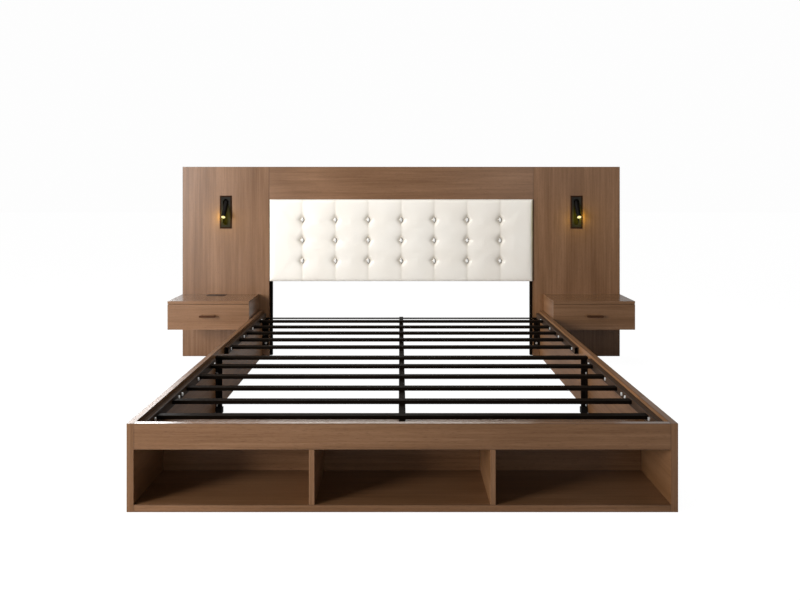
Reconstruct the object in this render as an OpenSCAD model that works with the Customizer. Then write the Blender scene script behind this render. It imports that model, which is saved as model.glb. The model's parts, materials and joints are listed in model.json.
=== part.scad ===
// Storage bed with a slatted steel deck, an upholstered headboard and two hanging nightstands.
// +Z is up, +Y runs from the foot to the head, and X runs across the bed.
// The origin is on the floor, at the middle of the whole footprint.
// Every "left" piece is at -X, which is on the left for a viewer at the foot of the bed.

/* [Bed] */
// Outer width of the bed across its side rails
bed_w = 1600; // [1400:10:1700]
// Length from the footboard's front face to the headboard's front face
bed_l = 2065; // [1960:5:2150]
// Height of the rails' and footboard's top edge
rail_top = 257; // [250:1:300]
// Thickness of the side rails and of the footboard's side panels
rail_t = 20; // [16:1:25]
// Clearance between the side rails and the floor
rail_lift = 5; // [0:1:12]

/* [Footboard] */
// Depth of the footboard's storage unit
foot_d = 287; // [240:1:330]
// Thickness of the front apron
apron_t = 20; // [15:1:25]
// Height of the front apron
apron_h = 76; // [70:1:90]
// Thickness of the storage unit's floor board
foot_floor_t = 21; // [15:1:25]
// Thickness of the storage unit's covering board
foot_cover_t = 16; // [12:1:17]
// Thickness of the storage unit's back board
foot_back_t = 15; // [9:1:20]
// Thickness of the two upright dividers
divider_t = 16; // [12:1:22]
// Clear width of the middle cubby
cubby_w = 510; // [350:5:600]

/* [Headboard] */
// Height of the headboard
headboard_h = 1070; // [950:5:1200]
// Thickness of the headboard's boards
board_t = 25; // [18:1:30]
// How far the headboard's side panels reach in behind the side rails
panel_lap = 34; // [32:1:50]
// Height of the board above the cushion
top_board_h = 184; // [120:1:240]
// Width of the steel posts
post_w = 40; // [30:1:50]
// Depth of the steel posts
post_d = 30; // [29:1:40]
// Wall of the steel posts and bars
post_wall = 1.5; // [1:0.1:3]
// How far the posts show inside the side panels' inner edges
post_show = 13; // [8:1:20]
// Distance from the headboard's top edge down to the posts' top ends
post_drop = 30; // [10:1:60]
// Width and depth of the horizontal bars behind the boards
bar_size = 25; // [20:1:25]
// Height of the lower bars' centre line behind the nightstands
low_bar_z = 300; // [230:1:330]
// Distance from the headboard's top edge down to the upper bars' centre line
high_bar_drop = 110; // [80:1:125]

/* [Cushion] */
// Height of the cushion
cushion_h = 462; // [380:1:520]
// Thickness of the cushion at its crown
cushion_t = 30; // [28:1:40]
// Gap round the cushion's edge
cushion_gap = 3; // [2:0.5:6]
// Thickness of the backing board
backing_t = 15; // [9:1:18]
// Height of the cushion's side walls
cushion_side = 12; // [6:1:13]
// Width of the cushion's rounded edge
cushion_edge = 16; // [8:1:20]
// How far the sides pull in between the corners
draw_in = 1.5; // [0:0.5:3]
// Depth of the sewn channels
channel_depth = 4; // [1:0.5:5]
// Extra depth of each button's tuft
tuft_depth = 11; // [4:1:12]
// Reach of a tuft round its button
tuft_reach = 62; // [40:1:75]
// Number of channels across the cushion
channel_count = 8; // [6:1:8]
// Number of rows that the buttons divide the cushion into
row_count = 4; // [3:1:4]
// Width of a rhombic crystal button
button_w = 23; // [14:1:28]
// Height of a rhombic crystal button
button_h = 36; // [20:1:42]
// Flat margin round a button in its tuft
button_margin = 3; // [1:0.5:5]
// Thickness of a crystal button
button_t = 9; // [5:1:10]
// Gap between the cushion and what it rests on, and between it and its buttons
soft_gap = 0.3; // [0.2:0.1:0.6]

/* [Steel deck] */
// Height of the slats' top face
slat_top = 238; // [230:1:242]
// Width of a slat
slat_w = 28; // [20:1:35]
// Thickness of a slat
slat_t = 12.5; // [10:0.5:15]
// Wall of the slats
slat_wall = 1.2; // [0.8:0.1:2]
// Distance between the front edges of the slats on either side of the middle bar
slat_mid_span = 369; // [340:1:400]
// Number of slats in each half of the deck
slat_count = 5; // [4:1:5]
// From the footboard's front face to the first slat
slat_first = 142; // [125:1:160]
// From the last slat's front edge to the headboard's face
slat_last = 218; // [200:1:230]
// Width of the side ledges
ledge_w = 19; // [16:1:20]
// Height of the side ledges
ledge_h = 30; // [28:1:34]
// How far the ledges stand above the slats
ledge_rise = 7; // [2:1:10]
// Wall of the ledges and of the centre beam
ledge_wall = 1.5; // [1:0.1:2]
// Reach of the foot ledges past their last slat
ledge_over_foot = 64; // [50:1:90]
// Reach of the head ledges past their first slat
ledge_over_head = 53; // [30:1:60]
// Width of the bar across the middle of the bed
mid_bar_w = 31; // [28:1:40]
// From the last foot slat to the middle bar
mid_bar_gap = 125; // [100:1:130]
// Width of the centre beam
beam_w = 22; // [21:1:30]
// Height and depth of the bar across the head end
head_bar = 8; // [6:1:12]
// Height of the head end bar's centre line
head_bar_z = 216; // [212:1:220]
// From the head end bar to the headboard's face
head_bar_gap = 7; // [4:1:15]

/* [Legs and brackets] */
// Width of each flange of the side legs
side_leg_w = 24; // [22:1:30]
// Thickness of the side legs and brackets
flange_t = 3; // [2:0.5:4]
// Width of a side leg's foot cap
cap_w = 28; // [27:1:32]
// Height of a side leg's foot cap
cap_h = 24; // [18:1:26]
// Width of the centre legs
centre_leg_w = 20; // [16:1:21]
// Diameter of a centre leg's foot
foot_pad_d = 22; // [20:1:28]
// Thickness of a foot below its leg
foot_pad_t = 8; // [5:1:12]
// Depth that a foot's plug reaches into its leg
foot_plug = 14; // [8:1:18]
// Height of the head brackets' lower end
head_bracket_z = 63; // [40:1:90]
// Height of the foot brackets' lower end
foot_bracket_z = 60; // [40:1:80]
// Height of the foot brackets
foot_bracket_h = 100; // [80:1:110]
// Width of a bracket's flange on the headboard or footboard
bracket_w = 31; // [26:1:32]
// Width of a bracket's flange on the side rail
bracket_d = 28; // [26:1:36]
// Width of the clip at the centre beam's foot end
clip_w = 24; // [22:1:32]
// Reach of the clip over the centre beam
clip_reach = 40; // [25:1:60]

/* [Bolts and screws] */
// Diameter of a bolt's shank
bolt_d = 6; // [4:0.5:8]
// Diameter of a bolt's head
bolt_head_d = 12; // [9:0.5:13]
// Height of a bolt's head
bolt_head_h = 4; // [2:0.5:5]
// Depth of a bolt in the wood
bolt_bite = 11; // [8:1:13]
// Height of the side legs' lower bolts
leg_bolt_low = 33; // [32:1:60]
// Height of the side legs' upper bolts
leg_bolt_high = 166; // [120:1:190]
// Diameter of a headboard screw's shank
screw_d = 5; // [4:0.5:6]
// Diameter of a headboard screw's head
screw_head_d = 11; // [9:0.5:14]
// Height of a headboard screw's head
screw_head_h = 3; // [2:0.5:3.5]
// Depth of a headboard screw in the wood
screw_bite = 13; // [8:1:15]
// Wood left between a backing board's screws and its front
screw_skin = 3; // [2:0.5:5]
// Distance between the end screws of a bar and the bar's end
screw_inset = 40; // [25:1:60]
// Least distance from a bolt's head to a slat
bolt_margin = 3; // [1:0.5:4]
// Radial clearance round every shank
shank_gap = 0.2; // [0.1:0.05:0.4]

/* [Nightstands] */
// Width of a nightstand
stand_w = 431; // [380:1:480]
// Height of a nightstand
stand_h = 151; // [145:1:190]
// Depth of a nightstand
stand_d = 277; // [265:1:320]
// Height of a nightstand's underside
stand_z = 200; // [150:1:230]
// Gap between a nightstand and the bed's side rail
stand_gap = 4; // [2:0.5:8]
// Thickness of a nightstand's boards
stand_t = 15; // [12:1:18]
// Thickness of a nightstand's bottom board
stand_floor_t = 12; // [9:1:15]
// Thickness of a nightstand's back board
stand_back_t = 9; // [6:1:12]

/* [Drawers] */
// Thickness of a drawer front
front_t = 15; // [12:1:18]
// Gap round a drawer front
front_gap = 2; // [1:0.5:3]
// Height of a drawer's box
drawer_h = 90; // [75:1:92]
// Depth of a drawer's box
drawer_d = 235; // [215:1:240]
// Thickness of a drawer's walls
drawer_wall = 12; // [9:1:15]
// Thickness of a drawer's bottom
drawer_floor_t = 6; // [4:1:9]
// Glue line at each corner of a drawer's box
glue_gap = 0.1; // [0.05:0.05:0.2]
// From a nightstand's bottom board up to the drawer's box
drawer_lift = 10; // [6:1:12]
// Room beside a drawer for each runner
runner_room = 12.7; // [12:0.1:14]
// Height of a runner
runner_h = 35; // [32:1:40]
// Sheet thickness of a runner
runner_t = 1.5; // [1:0.1:1.8]
// From a nightstand's front edges back to its runners
runner_inset = 1; // [0.5:0.5:4]
// Running clearance between a runner's members
runner_gap = 0.3; // [0.2:0.05:0.5]
// Length of a handle's bar
handle_l = 88; // [70:1:140]
// Height of a handle's bar
handle_h = 10.5; // [9:0.5:14]
// Thickness of a handle's bar
handle_t = 7; // [5:0.5:9]
// Reach of a handle in front of its drawer
handle_reach = 25; // [20:1:32]
// Distance between a handle's two posts
handle_post_pitch = 64; // [48:1:66]
// Diameter of a handle's posts
handle_post_d = 8; // [6:0.5:9]
// How far a handle sits above the middle of its drawer front
handle_rise = 6; // [0:1:20]

/* [Reading lamps] */
// Width of a lamp's plate
lamp_w = 68; // [60:1:90]
// Height of a lamp's plate
lamp_h = 186; // [184:1:210]
// Thickness of a lamp's plate
lamp_t = 4; // [3:0.5:6]
// Width of the plate's bevel
lamp_bevel = 6; // [3:0.5:8]
// How far the bevel falls back from the plate's front
lamp_bevel_t = 2.4; // [1:0.2:2.6]
// Height of a lamp's plate centre
lamp_z = 814; // [760:1:840]
// Diameter of a lamp's tube
tube_d = 26; // [20:1:27]
// Diameter of the hollow inside a lamp's tube
tube_bore = 19; // [14:1:20]
// Solid length of the tube below its hinge pin
tube_plug = 20; // [12:1:40]
// From a lamp's hinge pin to the tube's free end
tube_l = 113; // [90:1:115]
// Width of the recess that holds the folded tube
recess_w = 32; // [30:1:36]
// Height of the recess
recess_h = 147; // [145:1:160]
// Depth of the recess behind the plate's front
recess_d = 31; // [30:1:36]
// Wall of the recess
recess_wall = 2; // [1.5:0.5:3]
// Gap between the recess and the headboard's cut-out
recess_gap = 1; // [0.5:0.5:2]
// Depth of the hinge pin behind the plate's front
pin_depth = 15; // [14:0.5:16]
// Diameter of the hinge pin
pin_d = 4; // [3:0.5:6]
// Radial running clearance of the hinge pin
pin_gap = 0.05; // [0.03:0.01:0.1]
// Angle of the tube from hanging straight down, as it stands
tube_angle = 42; // [0:1:80]
// Diameter of a lamp's lens
lens_d = 22; // [16:0.5:23]
// Thickness of a lamp's lens
lens_t = 3; // [2:0.5:5]
// Radial gap round a lens
lens_gap = 0.15; // [0.1:0.05:0.3]

/* [Socket panel] */
// Width of the socket panel
socket_w = 102; // [96:1:130]
// Depth of the socket panel from front to back
socket_d = 58; // [50:1:70]
// Height of the panel's rim above the nightstand
socket_rim = 1.5; // [1:0.5:3]
// Width of the rim round the housing
socket_lip = 5; // [3:0.5:8]
// Depth of the housing below the nightstand's top
socket_depth = 19; // [17:0.5:20]
// From the socket panel to the headboard
socket_back = 20; // [12:1:40]
// From the nightstand's outer side to the socket panel
socket_side = 153; // [100:1:200]
// Gap round the housing in the nightstand's top
socket_gap = 0.5; // [0.3:0.1:1]
// Width of a charging port
port_w = 13; // [12:0.5:15]
// Height of a charging port
port_h = 5.5; // [4.5:0.5:7]
// Depth of the charging ports and mains slots
port_depth = 12; // [10:1:14]
// Distance between the two charging ports
port_pitch = 13; // [11:1:18]
// Distance from the panel's centre to each mains outlet
outlet_offset = 29; // [26:1:31]
// Width of a mains slot
slot_w = 2.5; // [2:0.1:3]
// Length of a mains slot
slot_l = 8; // [6:0.5:10]
// Distance between the two long mains slots
slot_pitch = 12.7; // [11:0.1:14]
// Width of a mains outlet's round-pin opening
pin_slot = 5; // [4.5:0.5:6]
// From the middle of the panel back to the long slots
slot_shift = 4; // [3:0.5:6]

/* [Hidden] */
$fn = 48;

// Cuts run this far past the faces that they open
over = 1;

// Places across the bed, measured from its centre line
rail_out = bed_w / 2;
rail_in = rail_out - rail_t;
panel_in = rail_in - panel_lap;
stand_in = rail_out + stand_gap;
stand_out = stand_in + stand_w;
ledge_in = rail_in - ledge_w;
post_in = panel_in - post_show;
post_out = post_in + post_w;

// Places along the bed
total_l = bed_l + board_t + post_d;
foot_y = -total_l / 2;
head_y = foot_y + bed_l;
rear_y = head_y + board_t;
apron_y = foot_y + apron_t;
foot_rear_y = foot_y + foot_d;
foot_back_y = foot_rear_y - foot_back_t;
stand_y = head_y - stand_d;
carcass_y = stand_y + front_t + front_gap;

// Heights
apron_z = rail_top - apron_h;
cover_top = apron_z + foot_cover_t;
slat_z = slat_top - slat_t;
ledge_top = slat_top + ledge_rise;
ledge_z = ledge_top - ledge_h;
ledge_bolt_z = ledge_z + ledge_h / 2;
cushion_top = headboard_h - top_board_h;
cushion_z = cushion_top - cushion_h;
stand_top_z = stand_z + stand_h;

// Slats, evenly spaced in each half of the deck, by their front edges
slat_pitch = (bed_l - slat_first - slat_last - slat_mid_span) / (2 * (slat_count - 1));
foot_slats = [for (k = [0:slat_count - 1]) foot_y + slat_first + k * slat_pitch];
head_slats = [for (k = [0:slat_count - 1]) head_y - slat_last - (slat_count - 1 - k) * slat_pitch];
foot_ledge_end = foot_slats[slat_count - 1] + slat_w + ledge_over_foot;
head_ledge_start = head_slats[0] - ledge_over_head;
head_bar_y = head_y - head_bar_gap - head_bar;
mid_bar_y = foot_slats[slat_count - 1] + slat_w + mid_bar_gap;
mid_bar_centre = mid_bar_y + mid_bar_w / 2;

// Bolts of the ledges: beside each end slat, and part of the way across a gap between slats
slat_space = slat_pitch - slat_w;
end_bolt_gap = bolt_head_d / 2 + bolt_margin;
function gap_bolt(slats, index, part) = slats[index] + slat_w + part * slat_space;
foot_ledge_bolts = [foot_slats[0] - end_bolt_gap, gap_bolt(foot_slats, 1, 0.3),
    gap_bolt(foot_slats, 1, 0.58), gap_bolt(foot_slats, 2, 0.88),
    foot_slats[slat_count - 1] + slat_w + ledge_over_foot / 2];
head_ledge_bolts = [head_slats[0] - end_bolt_gap, gap_bolt(head_slats, 1, 0.54),
    gap_bolt(head_slats, 2, 0.86), head_slats[slat_count - 1] + slat_w + ledge_over_foot / 2];

// Bolts of the corner brackets
bracket_bolt_inset = bolt_head_d / 2 + 2 * bolt_margin;
head_bracket_top = head_bar_z - head_bar / 2;
head_bracket_bolts = [head_bracket_z + bracket_bolt_inset, head_bracket_top - bracket_bolt_inset];
foot_bracket_bolts = [foot_bracket_z + bracket_bolt_inset,
    foot_bracket_z + foot_bracket_h - bracket_bolt_inset];
bracket_face_x = rail_in - flange_t - (bracket_w - flange_t) / 2;
bracket_rail_y = bracket_d / 2 + flange_t / 2;

// Centre legs: one under the middle bar and one under the middle slat of each half
middle_slat = floor(slat_count / 2);
centre_leg_ys = [foot_slats[middle_slat] + slat_w / 2, mid_bar_centre,
    head_slats[middle_slat] + slat_w / 2];

// Cushion
cushion_w = 2 * (panel_in - cushion_gap);
cushion_y = rear_y - backing_t - soft_gap;
channel_w = cushion_w / channel_count;
row_h = cushion_h / row_count;
seat_across = button_w / 2 + button_margin;
seat_up = button_h / 2 + button_margin;
button_y = cushion_y - (cushion_t - channel_depth - tuft_depth) - soft_gap;

// Lamps, centred on the headboard's side panels
lamp_x = (panel_in + stand_out) / 2;
lamp_front_y = head_y - lamp_t;
recess_top = lamp_z + recess_h / 2;
pin_z = recess_top - recess_w / 2;
pin_y = lamp_front_y + pin_depth;

// Drawers
drawer_z = stand_z + stand_floor_t + drawer_lift;
drawer_in = stand_in + stand_t + runner_room;
drawer_out = stand_out - stand_t - runner_room;
drawer_y = stand_y + front_t;
drawer_mid = (drawer_in + drawer_out) / 2;
front_top = stand_top_z - stand_t - front_gap;
handle_z = (stand_z + front_top) / 2 + handle_rise;
runner_z = drawer_z + drawer_h / 2;
runner_y = carcass_y + runner_inset;

// Socket panel
socket_x = stand_out - socket_side - socket_w / 2;
socket_y = head_y - socket_back - socket_d / 2;

wood = [0.52, 0.40, 0.31];
dark_wood = [0.34, 0.25, 0.19];
black = [0.10, 0.10, 0.10];
leather = [0.95, 0.92, 0.87];
bright = [0.80, 0.81, 0.83];
bronze = [0.28, 0.18, 0.10];

// A box given by its low and high corners
module block(low, high) {
    translate(low) cube(high - low);
}

// The same shape on the bed's other side
module on_side(side) {
    if (side == "left") mirror([1, 0, 0]) children();
    else children();
}

module on_both_sides() {
    children();
    mirror([1, 0, 0]) children();
}

// A square tube between two corners, open at both ends along the named axis
module tube(low, high, wall, axis) {
    along = axis == "x" ? [1, 0, 0] : axis == "y" ? [0, 1, 0] : [0, 0, 1];
    across = [1, 1, 1] - along;
    difference() {
        block(low, high);
        block(low + across * wall - along * over, high - across * wall + along * over);
    }
}

// A bolt along +Z, with its head below the origin
module bolt(length) {
    translate([0, 0, -bolt_head_h]) cylinder(d = bolt_head_d, h = bolt_head_h);
    cylinder(d = bolt_d, h = length);
}

module bolt_hole(length) {
    translate([0, 0, -over]) cylinder(r = bolt_d / 2 + shank_gap, h = length + over + shank_gap);
}

module screw(length) {
    translate([0, 0, -screw_head_h]) cylinder(d = screw_head_d, h = screw_head_h);
    cylinder(d = screw_d, h = length);
}

module screw_hole(length) {
    translate([0, 0, -over]) cylinder(r = screw_d / 2 + shank_gap, h = length + over + shank_gap);
}

// ---- Places of the bolts that enter the side rails and boards, on the +X side ----

module at_ledge_bolts() {
    for (y = concat(foot_ledge_bolts, head_ledge_bolts))
        translate([ledge_in, y, ledge_bolt_z]) rotate([0, 90, 0]) children();
}

module at_leg_bolts() {
    for (z = [leg_bolt_low, leg_bolt_high])
        translate([rail_in - flange_t, mid_bar_centre - flange_t / 2, z])
            rotate([0, 90, 0]) children();
}

// Bolts through the corner brackets into the side rail
module at_bracket_rail_bolts() {
    translate([rail_in - flange_t, head_y - bracket_rail_y, (head_bracket_z + head_bracket_top) / 2])
        rotate([0, 90, 0]) children();
    translate([rail_in - flange_t, foot_rear_y + bracket_rail_y, foot_bracket_z + foot_bracket_h / 2])
        rotate([0, 90, 0]) children();
}

module at_head_bracket_bolts() {
    for (z = head_bracket_bolts)
        translate([bracket_face_x, head_y - flange_t, z]) rotate([-90, 0, 0]) children();
}

module at_foot_bracket_bolts() {
    for (z = foot_bracket_bolts)
        translate([bracket_face_x, foot_rear_y + flange_t, z]) rotate([90, 0, 0]) children();
}

// ---- Bars behind the headboard, and their screws, on the +X side ----

outer_bar_zs = [low_bar_z, headboard_h - high_bar_drop];
tie_bar_zs = [cushion_z + bar_size, cushion_top - bar_size, headboard_h - high_bar_drop];
outer_bar_end = stand_out - bar_size;
outer_screw_xs = [post_out + screw_inset, (post_out + outer_bar_end) / 2, outer_bar_end - screw_inset];
tie_screw_xs = [post_in - screw_inset, post_in / 3];

module at_outer_screws() {
    for (z = outer_bar_zs) for (x = outer_screw_xs)
        translate([x, rear_y + bar_size, z]) rotate([90, 0, 0]) children();
}

module at_tie_screws(zs) {
    for (z = zs) for (x = tie_screw_xs)
        translate([x, rear_y + bar_size, z]) rotate([90, 0, 0]) children();
}

module headboard_bars() {
    color(black) difference() {
        union() {
            on_both_sides() for (z = outer_bar_zs)
                tube([post_out, rear_y, z - bar_size / 2],
                    [outer_bar_end, rear_y + bar_size, z + bar_size / 2], post_wall, "x");
            for (z = tie_bar_zs)
                tube([-post_in, rear_y, z - bar_size / 2],
                    [post_in, rear_y + bar_size, z + bar_size / 2], post_wall, "x");
        }
        on_both_sides() {
            at_outer_screws() screw_hole(bar_size + over);
            at_tie_screws(tie_bar_zs) screw_hole(bar_size + over);
        }
    }
}

module headboard_screws() {
    color(bright) on_both_sides() {
        at_outer_screws() screw(bar_size + screw_bite);
        at_tie_screws([tie_bar_zs[0], tie_bar_zs[1]]) screw(bar_size + backing_t - screw_skin);
        at_tie_screws([tie_bar_zs[2]]) screw(bar_size + screw_bite);
    }
}

module headboard_posts() {
    color(black) on_both_sides()
        tube([post_in, rear_y, 0], [post_out, rear_y + post_d, headboard_h - post_drop],
            post_wall, "z");
}

// ---- Headboard boards ----

// Capsule of the lamp's recess, grown by a margin, standing in the XZ plane from y0 to y1
module capsule(grow, y0, y1) {
    radius = recess_w / 2 + grow;
    arm = recess_h / 2 - recess_w / 2;
    translate([lamp_x, y1, lamp_z]) rotate([90, 0, 0]) linear_extrude(y1 - y0) union() {
        for (s = [-1, 1]) translate([0, s * arm]) circle(r = radius);
        square([2 * radius, 2 * arm], center = true);
    }
}

module headboard_panel(side) {
    color(wood) on_side(side) difference() {
        block([panel_in, head_y, 0], [stand_out, rear_y, headboard_h]);
        capsule(recess_wall + recess_gap, head_y - over, rear_y + over);
        at_outer_screws() screw_hole(bar_size + screw_bite);
        at_head_bracket_bolts() bolt_hole(flange_t + bolt_bite);
    }
}

module headboard_top_board() {
    color(wood) difference() {
        block([-panel_in, head_y, cushion_top], [panel_in, rear_y, headboard_h]);
        on_both_sides() at_tie_screws([tie_bar_zs[2]]) screw_hole(bar_size + screw_bite);
    }
}

module cushion_backing() {
    half_w = cushion_w / 2;
    color(dark_wood) difference() {
        block([-half_w, rear_y - backing_t, cushion_z], [half_w, rear_y, cushion_top]);
        on_both_sides() at_tie_screws([tie_bar_zs[0], tie_bar_zs[1]])
            screw_hole(bar_size + backing_t - screw_skin);
    }
}

// ---- Cushion: sewn channels and button tufts, over a flat back ----

// Places of the surface's rows of points along one side of the cushion
function stations(count, pitch, seat, parts) = concat(
    [0, 0.3 * cushion_edge, cushion_edge],
    [for (k = [0:count - 1]) each concat(
        [for (p = parts) (k + p) * pitch],
        k == count - 1 ? [] : [(k + 1) * pitch - seat, (k + 1) * pitch, (k + 1) * pitch + seat])],
    [count * pitch - cushion_edge, count * pitch - 0.3 * cushion_edge, count * pitch]);

// 0 at a seam and 1 midway between two seams
function swell(u, pitch) = abs(sin(180 * u / pitch));

// Distance to the nearest inner multiple of a pitch
function to_line(u, pitch, count) =
    abs(u - pitch * max(1, min(count - 1, round(u / pitch))));

// Share of the full thickness at a distance from the edge, as a quarter round
function edge_share(e) = e >= cushion_edge ? 1 : sqrt(1 - pow(1 - e / cushion_edge, 2));

// How deep a tuft is, of its full depth, at a distance outside its button's flat seat
function tuft_share(dist) = pow(max(0, 1 - dist / tuft_reach), 2);

function cushion_thickness(u, v) =
    let (du = to_line(u, channel_w, channel_count), dv = to_line(v, row_h, row_count))
    let (dist = norm([max(0, du - seat_across), max(0, dv - seat_up)]))
    let (seam = channel_depth * (1 - sqrt(dist == 0 ? 0 : swell(u, channel_w))))
    let (full = cushion_t - min(seam, channel_depth) - tuft_depth * tuft_share(dist))
    let (e = min(u, v, cushion_w - u, cushion_h - v))
    cushion_side + (full - cushion_side) * edge_share(e);

function pulled(u, v) = [
    (u - cushion_w / 2) * (1 - draw_in * sin(180 * v / cushion_h) / (cushion_w / 2)),
    cushion_z + cushion_h / 2 + (v - cushion_h / 2)
        * (1 - draw_in * sin(180 * u / cushion_w) / (cushion_h / 2))];

module headboard_cushion() {
    us = stations(channel_count, channel_w, seat_across, [0.3, 0.7]);
    vs = stations(row_count, row_h, seat_up, [0.5]);
    nu = len(us);
    nv = len(vs);
    front = [for (v = vs) for (u = us)
        let (p = pulled(u, v)) [p[0], cushion_y - cushion_thickness(u, v), p[1]]];
    rim = concat([for (i = [0:nu - 2]) i], [for (j = [0:nv - 2]) j * nu + nu - 1],
        [for (i = [nu - 1:-1:1]) (nv - 1) * nu + i], [for (j = [nv - 1:-1:1]) j * nu]);
    nr = len(rim);
    back = [for (k = rim) [front[k][0], cushion_y, front[k][2]]];
    centre = [0, cushion_y, cushion_z + cushion_h / 2];
    base = nu * nv;
    color(leather) polyhedron(
        points = concat(front, back, [centre]),
        faces = concat(
            [for (j = [0:nv - 2]) for (i = [0:nu - 2]) let (a = j * nu + i) each
                [[a, a + nu, a + nu + 1], [a, a + nu + 1, a + 1]]],
            [for (k = [0:nr - 1]) let (n = (k + 1) % nr) each
                [[rim[k], rim[n], base + n], [rim[k], base + n, base + k]]],
            [for (k = [0:nr - 1]) [base + k, base + (k + 1) % nr, base + nr]]));
}

module rhombus(w, h) {
    polygon([[-w / 2, 0], [0, -h / 2], [w / 2, 0], [0, h / 2]]);
}

// Faceted rhombic crystals, one on each crossing of a seam and a button row
module cushion_buttons() {
    color(bright) for (i = [1:channel_count - 1]) for (j = [1:row_count - 1])
        translate([i * channel_w - cushion_w / 2, button_y, cushion_z + j * row_h])
            rotate([90, 0, 0]) {
                linear_extrude(button_t / 3) rhombus(button_w, button_h);
                translate([0, 0, button_t / 3])
                    linear_extrude(button_t * 2 / 3, scale = 0.5) rhombus(button_w, button_h);
            }
}

// ---- Footboard with its three cubbies ----

module footboard_side(side) {
    color(wood) on_side(side) difference() {
        block([rail_in, foot_y, 0], [rail_out, foot_rear_y, rail_top]);
        at_ledge_bolts() bolt_hole(ledge_w + bolt_bite);
    }
}

module footboard_apron() {
    color(wood) block([-rail_in, foot_y, apron_z], [rail_in, apron_y, rail_top]);
}

module footboard_floor() {
    color(wood) block([-rail_in, foot_y, 0], [rail_in, foot_back_y, foot_floor_t]);
}

module footboard_cover() {
    color(dark_wood) block([-rail_in, apron_y, apron_z], [rail_in, foot_rear_y, cover_top]);
}

module footboard_back() {
    color(dark_wood) difference() {
        block([-rail_in, foot_back_y, 0], [rail_in, foot_rear_y, apron_z]);
        on_both_sides() at_foot_bracket_bolts() bolt_hole(flange_t + bolt_bite);
    }
}

module footboard_dividers() {
    color(wood) on_both_sides() block([cubby_w / 2, foot_y, foot_floor_t],
        [cubby_w / 2 + divider_t, foot_back_y, apron_z]);
}

// ---- Side rails and steel deck ----

module side_rail(side) {
    color(wood) on_side(side) difference() {
        block([rail_in, foot_rear_y, rail_lift], [rail_out, head_y, rail_top]);
        at_ledge_bolts() bolt_hole(ledge_w + bolt_bite);
        at_leg_bolts() bolt_hole(flange_t + bolt_bite);
        at_bracket_rail_bolts() bolt_hole(flange_t + bolt_bite);
    }
}

module deck_ledges() {
    color(black) on_both_sides() difference() {
        union() {
            tube([ledge_in, apron_y, ledge_z], [rail_in, foot_ledge_end, ledge_top],
                ledge_wall, "y");
            tube([ledge_in, head_ledge_start, ledge_z], [rail_in, head_bar_y, ledge_top],
                ledge_wall, "y");
        }
        at_ledge_bolts() bolt_hole(ledge_w + over);
    }
}

module slats(fronts) {
    color(black) for (y = fronts)
        tube([-ledge_in, y, slat_z], [ledge_in, y + slat_w, slat_top], slat_wall, "x");
}

module mid_bar() {
    color(black) tube([-rail_in, mid_bar_y, slat_z], [rail_in, mid_bar_y + mid_bar_w, slat_top],
        slat_wall, "x");
}

module head_bar_strip() {
    color(black) block([-rail_in, head_bar_y, head_bar_z - head_bar / 2],
        [rail_in, head_bar_y + head_bar, head_bar_z + head_bar / 2]);
}

module centre_beam() {
    color(black) tube([-beam_w / 2, apron_y + flange_t, cover_top], [beam_w / 2, head_bar_y, slat_z],
        ledge_wall, "y");
}

// Angle-section legs under the ends of the middle bar, bolted to the side rails
module side_leg_profile(grow) {
    back_y = mid_bar_centre + side_leg_w / 2;
    translate([rail_in - side_leg_w - grow, back_y - flange_t - grow])
        square([side_leg_w + grow, flange_t + 2 * grow]);
    translate([rail_in - flange_t - grow, back_y - side_leg_w - grow])
        square([flange_t + grow, side_leg_w + 2 * grow]);
}

module side_legs() {
    color(black) on_both_sides() difference() {
        translate([0, 0, foot_pad_t]) linear_extrude(slat_z - foot_pad_t) side_leg_profile(0);
        at_leg_bolts() bolt_hole(flange_t + over);
    }
}

module centre_legs() {
    color(black) for (y = centre_leg_ys)
        tube([-centre_leg_w / 2, y - centre_leg_w / 2, foot_pad_t],
            [centre_leg_w / 2, y + centre_leg_w / 2, cover_top], ledge_wall, "z");
}

module leg_feet() {
    plug_w = centre_leg_w - 2 * ledge_wall - 2 * shank_gap;
    color(black) {
        for (y = centre_leg_ys) translate([0, y, 0]) {
            cylinder(d = foot_pad_d, h = foot_pad_t);
            translate([-plug_w / 2, -plug_w / 2, 0]) cube([plug_w, plug_w, foot_pad_t + foot_plug]);
        }
        on_both_sides() difference() {
            translate([rail_in - cap_w, mid_bar_centre - cap_w / 2, 0]) cube([cap_w, cap_w, cap_h]);
            translate([0, 0, foot_pad_t]) linear_extrude(cap_h) side_leg_profile(shank_gap);
        }
    }
}

// Corner angles at the head and foot, and the clip over the centre beam's foot end
module deck_brackets() {
    color(black) {
        on_both_sides() {
            difference() {
                union() {
                    block([rail_in - bracket_w, head_y - flange_t, head_bracket_z],
                        [rail_in, head_y, head_bracket_top]);
                    block([rail_in - flange_t, head_y - bracket_d, head_bracket_z],
                        [rail_in, head_y, head_bracket_top]);
                }
                at_head_bracket_bolts() bolt_hole(flange_t + over);
                at_bracket_rail_bolts() bolt_hole(flange_t + over);
            }
            difference() {
                union() {
                    block([rail_in - bracket_w, foot_rear_y, foot_bracket_z],
                        [rail_in, foot_rear_y + flange_t, foot_bracket_z + foot_bracket_h]);
                    block([rail_in - flange_t, foot_rear_y, foot_bracket_z],
                        [rail_in, foot_rear_y + bracket_d, foot_bracket_z + foot_bracket_h]);
                }
                at_foot_bracket_bolts() bolt_hole(flange_t + over);
                at_bracket_rail_bolts() bolt_hole(flange_t + over);
            }
        }
        block([-clip_w / 2, apron_y, cover_top], [clip_w / 2, apron_y + flange_t, slat_z + flange_t]);
        block([-clip_w / 2, apron_y, slat_z],
            [clip_w / 2, apron_y + flange_t + clip_reach, slat_z + flange_t]);
    }
}

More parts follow.
